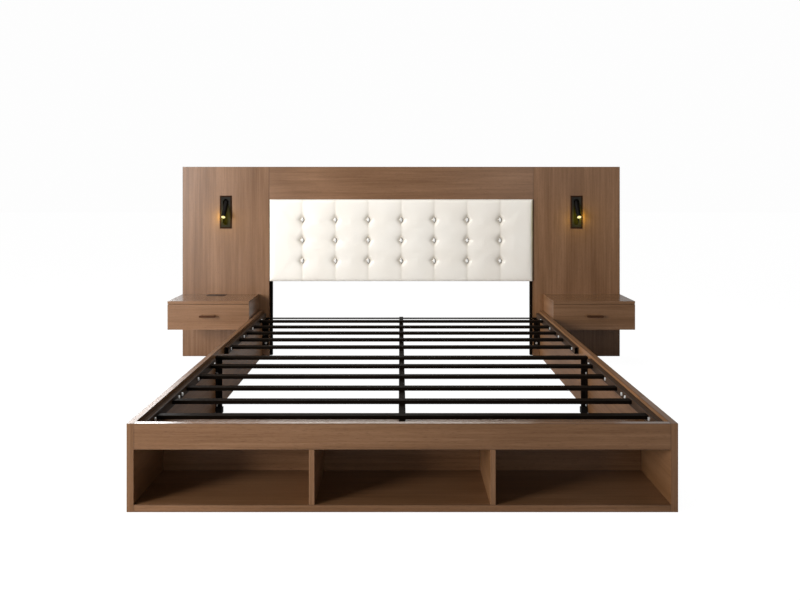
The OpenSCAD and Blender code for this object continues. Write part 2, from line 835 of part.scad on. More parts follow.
module deck_bolts() {
    color(bright) on_both_sides() {
        at_ledge_bolts() bolt(ledge_w + bolt_bite);
        at_leg_bolts() bolt(flange_t + bolt_bite);
        at_bracket_rail_bolts() bolt(flange_t + bolt_bite);
        at_head_bracket_bolts() bolt(flange_t + bolt_bite);
        at_foot_bracket_bolts() bolt(flange_t + bolt_bite);
    }
}

// ---- Nightstands ----

module stand_top(side) {
    color(wood) on_side(side) difference() {
        block([stand_in, stand_y, stand_top_z - stand_t], [stand_out, head_y, stand_top_z]);
        if (side == "left") socket_body(socket_gap, stand_t + over);
    }
}

module stand_sides(side) {
    color(wood) on_side(side) for (x = [stand_in, stand_out - stand_t])
        block([x, carcass_y, stand_z], [x + stand_t, head_y, stand_top_z - stand_t]);
}

module stand_floor(side) {
    color(wood) on_side(side) block([stand_in + stand_t, carcass_y, stand_z],
        [stand_out - stand_t, head_y - stand_back_t, stand_z + stand_floor_t]);
}

module stand_back(side) {
    color(dark_wood) on_side(side) block([stand_in + stand_t, head_y - stand_back_t, stand_z],
        [stand_out - stand_t, head_y, stand_top_z - stand_t]);
}

// ---- Drawers and their telescopic runners ----

// One channel of a runner: its web starts at x0, and its lips reach to x1
module channel(x0, x1, height, y, length) {
    side = x1 > x0 ? 1 : -1;
    web = x0 + side * runner_t;
    block([min(x0, web), y, runner_z - height / 2], [max(x0, web), y + length, runner_z + height / 2]);
    for (z = [runner_z - height / 2, runner_z + height / 2 - runner_t])
        block([min(x0, x1), y, z], [max(x0, x1), y + length, z + runner_t]);
}

// Both runners of a drawer: the channel is drawn from the inner side board outwards
module runner_pair(x0, x1, height, y, length) {
    inner = stand_in + stand_t;
    outer = stand_out - stand_t;
    channel(inner + x0, inner + x1, height, y, length);
    channel(outer - x0, outer - x1, height, y, length);
}

runner_step = 2 * (runner_t + runner_gap);
runner_middle_x = runner_t + runner_gap;
runner_lip = runner_room - runner_t - 2 * runner_gap;

module runner_fixed(side) {
    color(bright) on_side(side) runner_pair(0, runner_lip, runner_h, runner_y, drawer_d);
}

module runner_middle(side) {
    color(bright) on_side(side)
        runner_pair(runner_middle_x, runner_lip, runner_h - runner_step, runner_y, drawer_d);
}

module runner_drawer(side) {
    color(bright) on_side(side) runner_pair(runner_room, runner_middle_x + runner_t + runner_gap,
        runner_h - 2 * runner_step, runner_y, drawer_d + drawer_y - runner_y);
}

module drawer_front(side) {
    color(wood) on_side(side)
        block([stand_in, stand_y, stand_z], [stand_out, stand_y + front_t, front_top]);
}

module drawer_walls(side) {
    low = drawer_z + drawer_floor_t;
    high = drawer_z + drawer_h;
    rear = drawer_y + drawer_d;
    color(wood) on_side(side) {
        for (x = [drawer_in, drawer_out - drawer_wall])
            block([x, drawer_y, low], [x + drawer_wall, rear, high]);
        for (y = [drawer_y, rear - drawer_wall])
            block([drawer_in + drawer_wall + glue_gap, y, low],
                [drawer_out - drawer_wall - glue_gap, y + drawer_wall, high]);
    }
}

module drawer_floor(side) {
    color(dark_wood) on_side(side) block([drawer_in, drawer_y, drawer_z],
        [drawer_out, drawer_y + drawer_d, drawer_z + drawer_floor_t]);
}

module drawer_handle(side) {
    post_l = handle_reach - handle_t / 2;
    bar_y = stand_y - handle_reach;
    color(bronze) on_side(side) translate([drawer_mid, 0, handle_z]) {
        translate([0, bar_y + handle_t, 0]) rotate([90, 0, 0]) linear_extrude(handle_t) union() {
            square([handle_l - handle_h, handle_h], center = true);
            for (s = [-1, 1]) translate([s * (handle_l - handle_h) / 2, 0]) circle(d = handle_h);
        }
        for (s = [-1, 1]) translate([s * handle_post_pitch / 2, stand_y, 0])
            rotate([90, 0, 0]) cylinder(d = handle_post_d, h = post_l);
    }
}

// ---- Reading lamps: a plate with a recess, and a tube that swings out of it ----

// The plate's bevelled slab, as the overlap of two prisms with sloping edges
module lamp_slab() {
    w = lamp_w / 2;
    h = lamp_h / 2;
    edge_t = lamp_t - lamp_bevel_t;
    translate([lamp_x, head_y, lamp_z]) intersection() {
        translate([0, 0, -h]) linear_extrude(lamp_h) polygon([[-w, 0], [w, 0],
            [w, -edge_t], [w - lamp_bevel, -lamp_t], [lamp_bevel - w, -lamp_t],
            [-w, -edge_t]]);
        translate([-w, 0, 0]) rotate([90, 0, 90]) linear_extrude(lamp_w) polygon([[0, -h], [0, h],
            [-edge_t, h], [-lamp_t, h - lamp_bevel], [-lamp_t, lamp_bevel - h],
            [-edge_t, -h]]);
    }
}

module lamp_housing(side) {
    color(black) on_side(side) difference() {
        union() {
            lamp_slab();
            capsule(recess_wall, head_y - over / 2, lamp_front_y + recess_d + recess_wall);
        }
        capsule(0, lamp_front_y - over, lamp_front_y + recess_d);
        translate([lamp_x - recess_w, pin_y, pin_z]) rotate([0, 90, 0])
            cylinder(r = pin_d / 2 + pin_gap, h = 2 * recess_w);
    }
}

module lamp_pin(side) {
    half = recess_w / 2 + recess_wall;
    color(bright) on_side(side) translate([lamp_x - half, pin_y, pin_z]) rotate([0, 90, 0])
        cylinder(d = pin_d, h = 2 * half);
}

// Frame of the swinging tube: its origin is the hinge pin, and -Z runs along the tube
module at_tube(side) {
    on_side(side) translate([lamp_x, pin_y, pin_z]) rotate([-tube_angle, 0, 0]) children();
}

module lamp_tube(side) {
    color(black) at_tube(side) difference() {
        union() {
            sphere(d = tube_d);
            translate([0, 0, -tube_l]) cylinder(d = tube_d, h = tube_l);
        }
        translate([0, 0, -tube_l - over])
            cylinder(r = lens_d / 2 + lens_gap, h = lens_t + over);
        translate([0, 0, -tube_l]) cylinder(d = tube_bore, h = tube_l - tube_plug);
        translate([-tube_d, 0, 0]) rotate([0, 90, 0])
            cylinder(r = pin_d / 2 + pin_gap, h = 2 * tube_d);
    }
}

module lamp_lens(side) {
    color([1.0, 0.86, 0.45]) at_tube(side) translate([0, 0, -tube_l])
        cylinder(d = lens_d, h = lens_t);
}

// ---- Socket panel in the left nightstand's top, drawn on the +X side ----

// The housing below the rim, grown by a gap and reaching down from the nightstand's top
module socket_body(grow, depth) {
    half_w = socket_w / 2 - socket_lip + grow;
    half_d = socket_d / 2 - socket_lip + grow;
    block([socket_x - half_w, socket_y - half_d, stand_top_z - depth],
        [socket_x + half_w, socket_y + half_d, stand_top_z + socket_rim]);
}

// A blind pocket of the ports and slots, placed from the panel's centre
module pocket(x, y, w, d) {
    top = stand_top_z + socket_rim;
    translate([socket_x + x, socket_y + y, 0])
        block([-w / 2, -d / 2, top - port_depth], [w / 2, d / 2, top + over]);
}

module socket_panel() {
    top = stand_top_z + socket_rim;
    color(black) on_side("left") difference() {
        union() {
            socket_body(0, socket_depth);
            block([socket_x - socket_w / 2, socket_y - socket_d / 2, stand_top_z],
                [socket_x + socket_w / 2, socket_y + socket_d / 2, top]);
        }
        for (s = [-1, 1]) {
            pocket(0, s * port_pitch / 2, port_w, port_h);
            for (t = [-1, 1])
                pocket(s * outlet_offset + t * slot_pitch / 2, slot_shift, slot_w, slot_l);
            pocket(s * outlet_offset, slot_shift - slot_l / 2 - pin_slot, pin_slot, pin_slot);
        }
    }
}

headboard_panel("left");  // headboard_panel_left
headboard_panel("right");  // headboard_panel_right
headboard_top_board();
headboard_posts();
headboard_bars();
headboard_screws();
cushion_backing();
headboard_cushion();
cushion_buttons();
footboard_side("left");  // footboard_side_left
footboard_side("right");  // footboard_side_right
footboard_apron();
footboard_floor();
footboard_cover();
footboard_back();
footboard_dividers();
side_rail("left");  // side_rail_left
side_rail("right");  // side_rail_right
deck_ledges();
slats(foot_slats);  // slats_foot
slats(head_slats);  // slats_head
mid_bar();
head_bar_strip();
centre_beam();
side_legs();
centre_legs();
leg_feet();
deck_brackets();
deck_bolts();
socket_panel();
stand_top("left");  // left_stand_top
stand_sides("left");  // left_stand_sides
stand_floor("left");  // left_stand_floor
stand_back("left");  // left_stand_back
runner_fixed("left");  // left_runner_fixed
runner_middle("left");  // left_runner_middle
runner_drawer("left");  // left_runner_drawer
drawer_front("left");  // left_drawer_front
drawer_walls("left");  // left_drawer_walls
drawer_floor("left");  // left_drawer_floor
drawer_handle("left");  // left_drawer_handle
lamp_housing("left");  // left_lamp_housing
lamp_pin("left");  // left_lamp_pin
lamp_tube("left");  // left_lamp_tube
lamp_lens("left");  // left_lamp_lens
stand_top("right");  // right_stand_top
stand_sides("right");  // right_stand_sides
stand_floor("right");  // right_stand_floor
stand_back("right");  // right_stand_back
runner_fixed("right");  // right_runner_fixed
runner_middle("right");  // right_runner_middle
runner_drawer("right");  // right_runner_drawer
drawer_front("right");  // right_drawer_front
drawer_walls("right");  // right_drawer_walls
drawer_floor("right");  // right_drawer_floor
drawer_handle("right");  // right_drawer_handle
lamp_housing("right");  // right_lamp_housing
lamp_pin("right");  // right_lamp_pin
lamp_tube("right");  // right_lamp_tube
lamp_lens("right");  // right_lamp_lens
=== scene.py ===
"""Looks of a storage bed with two hanging nightstands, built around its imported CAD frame.

Everything is in metres in the frame's own axes: +Z up, +Y from foot to head, +X to the right.
"""
import json
import math

import bmesh
import bpy
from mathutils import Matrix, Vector

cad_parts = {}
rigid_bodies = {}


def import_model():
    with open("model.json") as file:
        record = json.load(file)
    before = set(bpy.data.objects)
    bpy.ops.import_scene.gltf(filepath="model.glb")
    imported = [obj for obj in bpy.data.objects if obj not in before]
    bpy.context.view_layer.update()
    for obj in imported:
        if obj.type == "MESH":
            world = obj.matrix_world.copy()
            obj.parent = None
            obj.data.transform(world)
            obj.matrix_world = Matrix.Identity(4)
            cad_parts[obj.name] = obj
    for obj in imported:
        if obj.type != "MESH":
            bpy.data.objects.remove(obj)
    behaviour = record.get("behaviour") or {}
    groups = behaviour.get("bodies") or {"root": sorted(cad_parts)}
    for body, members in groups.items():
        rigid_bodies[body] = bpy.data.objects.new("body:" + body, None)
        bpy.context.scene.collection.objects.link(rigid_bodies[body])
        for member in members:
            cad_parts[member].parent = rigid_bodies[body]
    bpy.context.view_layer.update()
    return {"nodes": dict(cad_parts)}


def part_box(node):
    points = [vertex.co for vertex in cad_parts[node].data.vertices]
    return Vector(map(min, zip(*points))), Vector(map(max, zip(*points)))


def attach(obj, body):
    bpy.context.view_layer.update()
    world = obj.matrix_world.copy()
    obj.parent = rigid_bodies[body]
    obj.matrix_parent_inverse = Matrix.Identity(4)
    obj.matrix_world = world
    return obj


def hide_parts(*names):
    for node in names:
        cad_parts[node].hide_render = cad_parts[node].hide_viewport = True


for old in list(bpy.data.objects):
    bpy.data.objects.remove(old)

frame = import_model()
nodes = frame["nodes"]
scene = bpy.context.scene
scene.view_settings.view_transform = "Standard"

AXES = "xyz"
# Each side's name and which way along X it lies
SIDES = {"left": -1, "right": 1}
MM = 0.001


# ---- Colours ----

def srgb(red, green, blue):
    """A display colour, 0 to 255 a channel, as Blender's linear colour."""
    def linear(value):
        share = value / 255
        return share / 12.92 if share <= 0.04045 else ((share + 0.055) / 1.055) ** 2.4
    return (linear(red), linear(green), linear(blue), 1.0)


def shaded(colour, gain, lift=0.0):
    """A linear colour made lighter or darker by a factor and a small step."""
    return tuple(min(1.0, channel * gain + lift) for channel in colour[:3]) + (1.0,)


def toned(palette, gain):
    """A palette made lighter or darker by one factor."""
    return tuple(shaded(colour, gain) for colour in palette)


# A wood's dark, middle and pale colours, and that of its pores
WALNUT = (srgb(101, 68, 39), srgb(121, 86, 57), srgb(138, 102, 73), srgb(76, 48, 25))
# Lighter copies of the walnut: painted light on boards that the lamps leave darker than the rest
WALNUT_PAINTED_LIGHTER = toned(WALNUT, 1.08)
WALNUT_PAINTED_LIGHTEST = toned(WALNUT, 1.2)
BIRCH = (srgb(178, 150, 116), srgb(200, 173, 138), srgb(214, 190, 158), srgb(150, 120, 88))
STEEL_BLACK = srgb(17, 12, 8)
STEEL_RUBBED = srgb(20, 15, 11)
# The steel's black lifted to a brown-grey for the deck ledges: painted sheen
LEDGE_PAINTED_SHEEN = srgb(62, 47, 36)
LEATHER = srgb(251, 246, 237)
LEATHER_DULL = srgb(247, 240, 229)
# The leather's colour in its folds: painted shade
LEATHER_CREASE_SHADE = srgb(206, 195, 178)
BRIGHT = srgb(236, 236, 234)
ZINC = srgb(176, 177, 178)
CUP_GREY = srgb(150, 144, 134)
CRYSTAL = srgb(254, 253, 249)
CRYSTAL_DIM = srgb(247, 246, 242)
BRONZE = srgb(62, 38, 23)
LAMP_FIELD = srgb(36, 34, 31)
# Brown on the lamp plates' chamfered rims: a painted reflection of the surroundings
LAMP_RIM_PAINTED_REFLECTION = srgb(46, 28, 17)
LAMP_TUBE = srgb(16, 14, 12)
PLASTIC_BLACK = srgb(11, 9, 8)
SOCKET_BROWN = srgb(30, 18, 11)
GLOW_CORE = srgb(255, 246, 196)
GLOW_WARM = srgb(255, 206, 60)
GLOW_UNLIT = srgb(40, 32, 14)
WHITE = (1.0, 1.0, 1.0, 1.0)


# ---- Node trees ----

# How far one step of a seed moves a noise along each axis
SEED_SHIFT = (3.7, 1.9, 2.3)


class Graph:
    """The node tree of a new material or world, with short ways to add and join nodes."""

    def __init__(self, owner, shader="Principled BSDF"):
        owner.use_nodes = True
        self.owner = owner
        self.tree = owner.node_tree
        self.shader = self.tree.nodes[shader]

    def add(self, kind, **settings):
        node = self.tree.nodes.new(kind)
        for key, value in settings.items():
            setattr(node, key, value)
        return node

    def feed(self, socket, value):
        """Joins another node's output to a socket, or sets a plain value on it."""
        if isinstance(value, bpy.types.NodeSocket):
            self.tree.links.new(value, socket)
        else:
            socket.default_value = value

    def fill(self, node, **values):
        """Feeds a node's named sockets; an underscore stands for a space."""
        for key, value in values.items():
            self.feed(node.inputs[key.replace("_", " ")], value)

    def surface(self, **values):
        """Feeds the shader's own sockets and returns the material."""
        self.fill(self.shader, **values)
        return self.owner

    def place(self, scale=(1, 1, 1), shift=(0, 0, 0)):
        """The object's own coordinates, scaled and moved."""
        coords = self.add("ShaderNodeTexCoord")
        mapping = self.add("ShaderNodeMapping")
        self.fill(mapping, Vector=coords.outputs["Object"], Location=shift, Scale=scale)
        return mapping.outputs["Vector"]

    def along(self, axis, length, width, seed):
        """Coordinates in which one unit is a length along an axis and a width across it."""
        scale = [1 / width] * 3
        scale[AXES.index(axis)] = 1 / length
        return self.place(scale, tuple(seed * step for step in SEED_SHIFT))

    def noise(self, vector, scale, detail=2.0, roughness=0.5):
        node = self.add("ShaderNodeTexNoise")
        self.fill(node, Vector=vector, Scale=scale, Detail=detail, Roughness=roughness)
        return node.outputs["Fac"]

    def math(self, operation, *values):
        node = self.add("ShaderNodeMath", operation=operation)
        for socket, value in zip(node.inputs, values):
            self.feed(socket, value)
        return node.outputs[0]

    def ramp(self, value, *stops):
        """A colour ramp; stops are (place, colour) pairs."""
        node = self.add("ShaderNodeValToRGB")
        elements = node.color_ramp.elements
        while len(elements) < len(stops):
            elements.new(0.5)
        for element, (place, colour) in zip(elements, stops):
            element.position = place
            element.color = colour
        self.fill(node, Fac=value)
        return node.outputs["Color"]

    def mix(self, share, first, second, blend="MIX"):
        node = self.add("ShaderNodeMix", data_type="RGBA", blend_type=blend)
        self.fill(node, Factor=share)
        colour_sockets = (socket for socket in node.inputs if socket.type == "RGBA")
        for socket, value in zip(colour_sockets, (first, second)):
            self.feed(socket, value)
        return next(socket for socket in node.outputs if socket.type == "RGBA")

    def spread(self, value, low, high, start=0.0, end=1.0):
        """A value mapped from one range, 0 to 1 if not said, to another."""
        node = self.add("ShaderNodeMapRange")
        self.fill(node, Value=value, From_Min=start, From_Max=end, To_Min=low, To_Max=high)
        return node.outputs["Result"]

    def near_edges(self, box, width, share=1.0):
        """A share on a box's edges that falls to nothing at a width from them."""
        low, high = box
        centre = tuple((low[k] + high[k]) / 2 for k in range(3))
        coords = self.add("ShaderNodeTexCoord")
        offset = self.add("ShaderNodeVectorMath", operation="SUBTRACT")
        self.feed(offset.inputs[0], coords.outputs["Object"])
        self.feed(offset.inputs[1], centre)
        parts = self.add("ShaderNodeSeparateXYZ")
        self.fill(parts, Vector=offset.outputs[0])
        x, y, z = (
            self.math("SUBTRACT", (high[k] - low[k]) / 2, self.math("ABSOLUTE", parts.outputs[k]))
            for k in range(3))
        # The middle one of the three distances to the box's faces
        middle = self.math("MAXIMUM", self.math("MINIMUM", x, y),
                           self.math("MINIMUM", self.math("MAXIMUM", x, y), z))
        return self.spread(middle, share, 0.0, end=width)

    def bump(self, height, strength, distance, below=None):
        """A bumped normal, perhaps over another one."""
        node = self.add("ShaderNodeBump")
        self.fill(node, Strength=strength, Distance=distance, Height=height)
        if below is not None:
            self.fill(node, Normal=below)
        return node.outputs["Normal"]


def new_graph(name):
    return Graph(bpy.data.materials.new(name))


# ---- Materials ----

# Noises of the veneer's figure: length along the grain and width across it, step of the seed,
# detail and roughness. The rings are level lines of the field.
WOOD_NOISES = {
    "field": (1.9, 0.24, 0.0, 1.0, 0.3),
    "bands": (3.5, 0.055, 0.7, 1.5, 0.5),
    "streaks": (0.50, 0.011, 1.3, 3.0, 0.62),
    "fibres": (0.09, 0.0016, 2.1, 2.0, 0.5),
    "specks": (0.016, 0.0011, 2.9, 1.0, 0.5),
}
RING_COUNT = 11.0
# How far each layer moves the colour between dark and pale
LAYER_SHARES = {"rings": 0.20, "bands": 0.50, "streaks": 0.85, "fibres": 0.45}
# Where the dark, middle and pale colours lie
TONE_STOPS = (0.20, 0.50, 0.80)
PORE_RANGE = (0.60, 0.72)
PORE_SHARE = 0.5
FIBRE_RELIEF = 0.5
PORE_RELIEF = 0.8
WOOD_BUMP = (0.30, 0.0004)
WOOD_ROUGHNESS = (0.26, 0.38)
LACQUER_ROUGHNESS = 0.25
# A line of painted shade along a board's edges, as on edges rounded away from the light: its width,
# how much it darkens and its tint
EDGE_SHADE_WIDTH = 3.5 * MM
EDGE_SHADE_SHARE = 0.75
EDGE_SHADE_TINT = (0.42, 0.40, 0.40, 1.0)


def wood(name, grain, seed, palette=WALNUT, figure=1.0, board=None, shine=0.35, matt=1.0,
         coat=0.0):
    """Satin veneer whose grain runs along one axis, with painted shade along the edges of a named
    board.

    figure is a factor on the growth rings, shine how much the wood mirrors, matt a factor on how
    much it blurs, and coat the share of clear lacquer.
    """
    dark, middle, pale, pore = palette
    g = new_graph(name)
    layers = {}
    for layer, (length, width, step, detail, roughness) in WOOD_NOISES.items():
        place = g.along(grain, length, width, seed + step)
        layers[layer] = g.noise(place, 1.0, detail=detail, roughness=roughness)
    # The field's level lines nest into arches where it peaks
    layers["rings"] = g.math("PINGPONG", g.math("MULTIPLY", layers["field"], RING_COUNT), 1.0)
    body = 0.5
    for layer, share in LAYER_SHARES.items():
        if layer == "rings":
            share *= figure
        body = g.math("MULTIPLY_ADD", g.math("SUBTRACT", layers[layer], 0.5), share, body)
    colour = g.ramp(body, *zip(TONE_STOPS, (dark, middle, pale)))
    pores = g.spread(layers["specks"], 0.0, PORE_SHARE, *PORE_RANGE)
    colour = g.mix(pores, colour, pore)
    if board is not None:
        # Painted shade darkens the board towards its edges
        edges = g.near_edges(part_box(board), EDGE_SHADE_WIDTH, EDGE_SHADE_SHARE)
        colour = g.mix(edges, colour, EDGE_SHADE_TINT, "MULTIPLY")
    relief = g.math("SUBTRACT", g.math("MULTIPLY", layers["fibres"], FIBRE_RELIEF),
                    g.math("MULTIPLY", pores, PORE_RELIEF))
    smooth, rough = WOOD_ROUGHNESS
    return g.surface(
        Base_Color=colour,
        Roughness=g.spread(layers["streaks"], smooth * matt, rough * matt),
        Normal=g.bump(relief, *WOOD_BUMP),
        Specular_IOR_Level=shine, Coat_Weight=coat, Coat_Roughness=LACQUER_ROUGHNESS)


# Scales of the noises below are in features a metre; a bump is its strength and its height
PEEL_SCALE = 900.0
PEEL_BUMP = (0.18, 0.0003)
PAINT_CLOUD_SCALE = 14.0


def powder_coat(name, colour, roughness=0.55, shine=0.0, rim=None):
    """Powder-coated steel: fine orange peel and a dull sheen.

    rim is a node, and the width and colour of a band along its edges, a painted reflection.
    """
    g = new_graph(name)
    spot = g.place()
    cloud = g.noise(spot, PAINT_CLOUD_SCALE, detail=3.0)
    tone = g.ramp(cloud, (0.3, colour), (0.75, shaded(colour, 1.5, 0.0004)))
    if rim is not None:
        node, width, reflection_colour = rim
        on_rim = g.math("GREATER_THAN", g.near_edges(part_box(node), width), 0.0)
        # The band along the edges is a painted reflection
        tone = g.mix(on_rim, tone, reflection_colour)
    return g.surface(
        Base_Color=tone,
        Roughness=g.spread(cloud, roughness - 0.06, roughness + 0.08),
        Normal=g.bump(g.noise(spot, PEEL_SCALE), *PEEL_BUMP),
        Specular_IOR_Level=shine)


SMUDGE_SCALE = 60.0
TURNING_SCALE = 1500.0
TURNING_BUMP = (0.10, 0.0002)


def plated(name, colour, roughness=0.22, metal=1.0):
    """Bright or zinc-plated steel with faint turning marks and smudges."""
    g = new_graph(name)
    spot = g.place()
    smudge = g.noise(spot, SMUDGE_SCALE, detail=4.0, roughness=0.65)
    return g.surface(
        Base_Color=g.ramp(smudge, (0.3, shaded(colour, 0.72)), (0.6, colour)),
        Roughness=g.spread(smudge, roughness, roughness + 0.18),
        Normal=g.bump(g.noise(spot, TURNING_SCALE), *TURNING_BUMP),
        Metallic=metal)


PEBBLE_SCALE = 620.0
PEBBLE_BUMP = (0.22, 0.0005)
MOTTLE_SCALE = 5.0
RUB_SCALE = 30.0
CREASE_SCALE = 48.0
CREASE_STRETCH = (1, 1, 0.35)
CREASE_BUMP = (0.20, 0.0012)


def leather(name):
    """Off-white coated leather: pebble grain, fine creases, and painted shade that darkens it a
    little in the folds.
    """
    g = new_graph(name)
    spot = g.place()
    cells = g.add("ShaderNodeTexVoronoi", feature="DISTANCE_TO_EDGE")
    g.fill(cells, Vector=spot, Scale=PEBBLE_SCALE)
    pebbles = g.spread(cells.outputs["Distance"], 0.0, 1.0)
    mottle = g.noise(spot, MOTTLE_SCALE, detail=3.0)
    crease_shade = g.add("ShaderNodeAttribute", attribute_name="crease_shade")
    tone = g.ramp(mottle, (0.25, LEATHER_DULL), (0.75, LEATHER))
    crease = g.noise(g.place(CREASE_STRETCH), CREASE_SCALE, detail=4.0, roughness=0.6)
    return g.surface(
        Base_Color=g.mix(crease_shade.outputs["Fac"], tone, LEATHER_CREASE_SHADE),
        Roughness=g.spread(g.noise(spot, RUB_SCALE, detail=3.0), 0.34, 0.46),
        Normal=g.bump(pebbles, *PEBBLE_BUMP, below=g.bump(crease, *CREASE_BUMP)),
        Specular_IOR_Level=0.5, Coat_Weight=0.12, Coat_Roughness=0.3)


TINT_SCALE = 90.0


def crystal(name):
    """Silver-backed faceted glass."""
    g = new_graph(name)
    tint = g.noise(g.place(), TINT_SCALE, detail=1.0)
    return g.surface(
        Base_Color=g.ramp(tint, (0.3, CRYSTAL_DIM), (0.7, CRYSTAL)),
        Roughness=g.spread(tint, 0.05, 0.12),
        Metallic=0.05, Specular_IOR_Level=0.8, Coat_Weight=1.0, Coat_Roughness=0.03)


MOULD_SCALE = 700.0
MOULD_BUMP = (0.15, 0.0003)
PLASTIC_CLOUD_SCALE = 20.0


def plastic(name, colour, low=0.4, high=0.55, shine=0.5):
    """Moulded plastic with a fine texture, and its lowest and highest roughness."""
    g = new_graph(name)
    spot = g.place()
    cloud = g.noise(spot, PLASTIC_CLOUD_SCALE)
    return g.surface(
        Base_Color=g.ramp(cloud, (0.3, colour), (0.8, shaded(colour, 1.4, 0.003))),
        Roughness=g.spread(cloud, low, high),
        Normal=g.bump(g.noise(spot, MOULD_SCALE), *MOULD_BUMP),
        Specular_IOR_Level=shine)


GLOW_SCALE = 120.0


def glow(name, strength):
    """A lit diffuser: hottest at its middle."""
    g = new_graph(name)
    cloud = g.noise(g.place(), GLOW_SCALE, detail=1.0)
    return g.surface(
        Base_Color=GLOW_UNLIT,
        Emission_Color=g.ramp(cloud, (0.2, GLOW_WARM), (0.5, GLOW_CORE)),
        Emission_Strength=strength, Roughness=0.5, Specular_IOR_Level=0.1)


# ---- Dressing CAD nodes ----

BEVEL_ANGLE = math.radians(40)
WELD = 0.00002
# How closely a face's normal follows an axis when the face looks along it
FACING_SHARE = 0.7

BOARD_EDGE = 0.8 * MM
STEEL_EDGE = 1.6 * MM
FINE_EDGE = 0.6 * MM
BOLT_EDGE = 0.8 * MM
ROUND_EDGE = 1.2 * MM
RUNNER_EDGE = 0.3 * MM
LAMP_EDGE = 0.5 * MM


def soften(obj, width, segments, edge_slot):
    """Rounds an object's hard edges, in the finish of one of its material slots."""
    if width <= 0:
        return
    weld = obj.modifiers.new("weld", "WELD")
    weld.merge_threshold = WELD
    bevel = obj.modifiers.new("edges", "BEVEL")
    bevel.width = width
    bevel.segments = segments
    bevel.limit_method = "ANGLE"
    bevel.angle_limit = BEVEL_ANGLE
    bevel.use_clamp_overlap = True
    bevel.harden_normals = False
    bevel.material = edge_slot


def dress(name, material, edge=0.0, segments=2, facing=None, worn=None):
    """A CAD node keeps its shape and gets its finish.

    facing is an axis and the material of the faces that look along it, and worn is that of the
    rounded edges.
    """
    obj = nodes[name]
    mesh = obj.data
    mesh.materials.clear()
    mesh.materials.append(material)
    if facing is not None:
        axis, other = facing
        mesh.materials.append(other)
        for polygon in mesh.polygons:
            looks_along = abs(polygon.normal[AXES.index(axis)]) > FACING_SHARE
            polygon.material_index = 1 if looks_along else 0
    if worn is not None:
        mesh.materials.append(worn)
    soften(obj, edge, segments, -1 if worn is None else len(mesh.materials) - 1)


TOP_SEED_STEP = 1.7


def dress_board(name, grain, seed, palette=WALNUT, shine=0.35, top_shine=None, top_matt=1.0,
                top_coat=0.0, edge_shaded=True):
    """A single board, perhaps with a shinier top, and with a line of painted shade along its edges
    unless told otherwise.
    """
    board = name if edge_shaded else None
    facing = None
    if top_shine is not None:
        top = wood("walnut_top_of_" + name, grain, seed + TOP_SEED_STEP, board=board,
                   shine=top_shine, matt=top_matt, coat=top_coat)
        facing = ("z", top)
    front = wood("walnut_" + name, grain, seed, palette, board=board, shine=shine)
    # Lacquer stays off the rounded edges, which would flash
    dress(name, front, BOARD_EDGE, facing=facing, worn=front if top_coat else None)


# Board, axis of its grain, seed of its figure, and what else dress_board is told
SINGLE_BOARDS = (
    ("headboard_panel_left", "z", 1.0, {"shine": 0.45}),
    # The right panel takes a lighter copy of the walnut: painted light
    ("headboard_panel_right", "z", 5.3, {"palette": WALNUT_PAINTED_LIGHTER}),
    ("headboard_top_board", "x", 8.6, {"shine": 0.5}),
    ("footboard_apron", "x", 2.4, {"top_shine": 0.8, "top_matt": 0.5, "top_coat": 0.5}),
    ("footboard_floor", "x", 6.2, {}),
    ("footboard_cover", "x", 7.7, {"top_shine": 0.8, "top_matt": 0.8, "top_coat": 0.7}),
    ("footboard_back", "x", 9.1, {}),
)
# For each side the seed of its figures, the shine of its rail's top and of its stand's top, and
# the lacquer on its stand's sides
SIDE_BOARDS = {"left": (0.7, 0.55, 0.9, 1.0), "right": (6.9, 0.14, 0.35, 0.0)}
RAIL_FACE_SHINE = 0.04
STAND_TOP_MATT = 0.6
STAND_SIDE_SHINE = 0.8
# Steps from a side's seed to those of its nightstand's boards, so that no two figures are alike
SEED_STEPS = {"stand_top": 2.2, "stand_floor": 2.7, "stand_back": 3.3, "drawer_front": 1.3,
              "stand_sides": 4.1, "drawer_box": 5.0}


def dress_boards():
    for name, grain, seed, told in SINGLE_BOARDS:
        dress_board(name, grain, seed, **told)
    dress("cushion_backing", wood("backing_ply", "x", 3.1, BIRCH), BOARD_EDGE)
    end_grain = ("y", wood("walnut_end_strip", "z", 4.8))
    dress("footboard_dividers", wood("walnut_dividers", "y", 3.6), BOARD_EDGE, facing=end_grain)
    for side, (seed, rail_shine, stand_shine, stand_coat) in SIDE_BOARDS.items():
        foot = "footboard_side_" + side
        dress(foot, wood("walnut_" + foot, "y", seed, board=foot), BOARD_EDGE, facing=end_grain)
        # The rails' faces take the lightest copy of the walnut: painted light
        dress_board("side_rail_" + side, "y", seed, palette=WALNUT_PAINTED_LIGHTEST, shine=RAIL_FACE_SHINE,
                    top_shine=rail_shine)
        seeds = {board: seed + step for board, step in SEED_STEPS.items()}
        dress_board(side + "_stand_top", "x", seeds["stand_top"], top_shine=stand_shine,
                    top_matt=STAND_TOP_MATT, edge_shaded=False)
        dress_board(side + "_stand_floor", "x", seeds["stand_floor"])
        dress_board(side + "_stand_back", "x", seeds["stand_back"])
        dress_board(side + "_drawer_front", "x", seeds["drawer_front"], edge_shaded=False)
        # The stands' sides take the lightest copy of the walnut: painted light
        stand_sides = wood("walnut_stand_sides_" + side, "y", seeds["stand_sides"], WALNUT_PAINTED_LIGHTEST,
                           shine=STAND_SIDE_SHINE, coat=stand_coat)
        dress(side + "_stand_sides", stand_sides, BOARD_EDGE)
        box_wood = wood("drawer_box_" + side, "x", seeds["drawer_box"], BIRCH, figure=0.5)
        dress(side + "_drawer_walls", box_wood, BOARD_EDGE)
        dress(side + "_drawer_floor", box_wood)


STEEL_NODES = ("headboard_posts", "headboard_bars", "slats_foot", "slats_head", "mid_bar",
               "head_bar_strip", "centre_beam", "side_legs", "centre_legs")


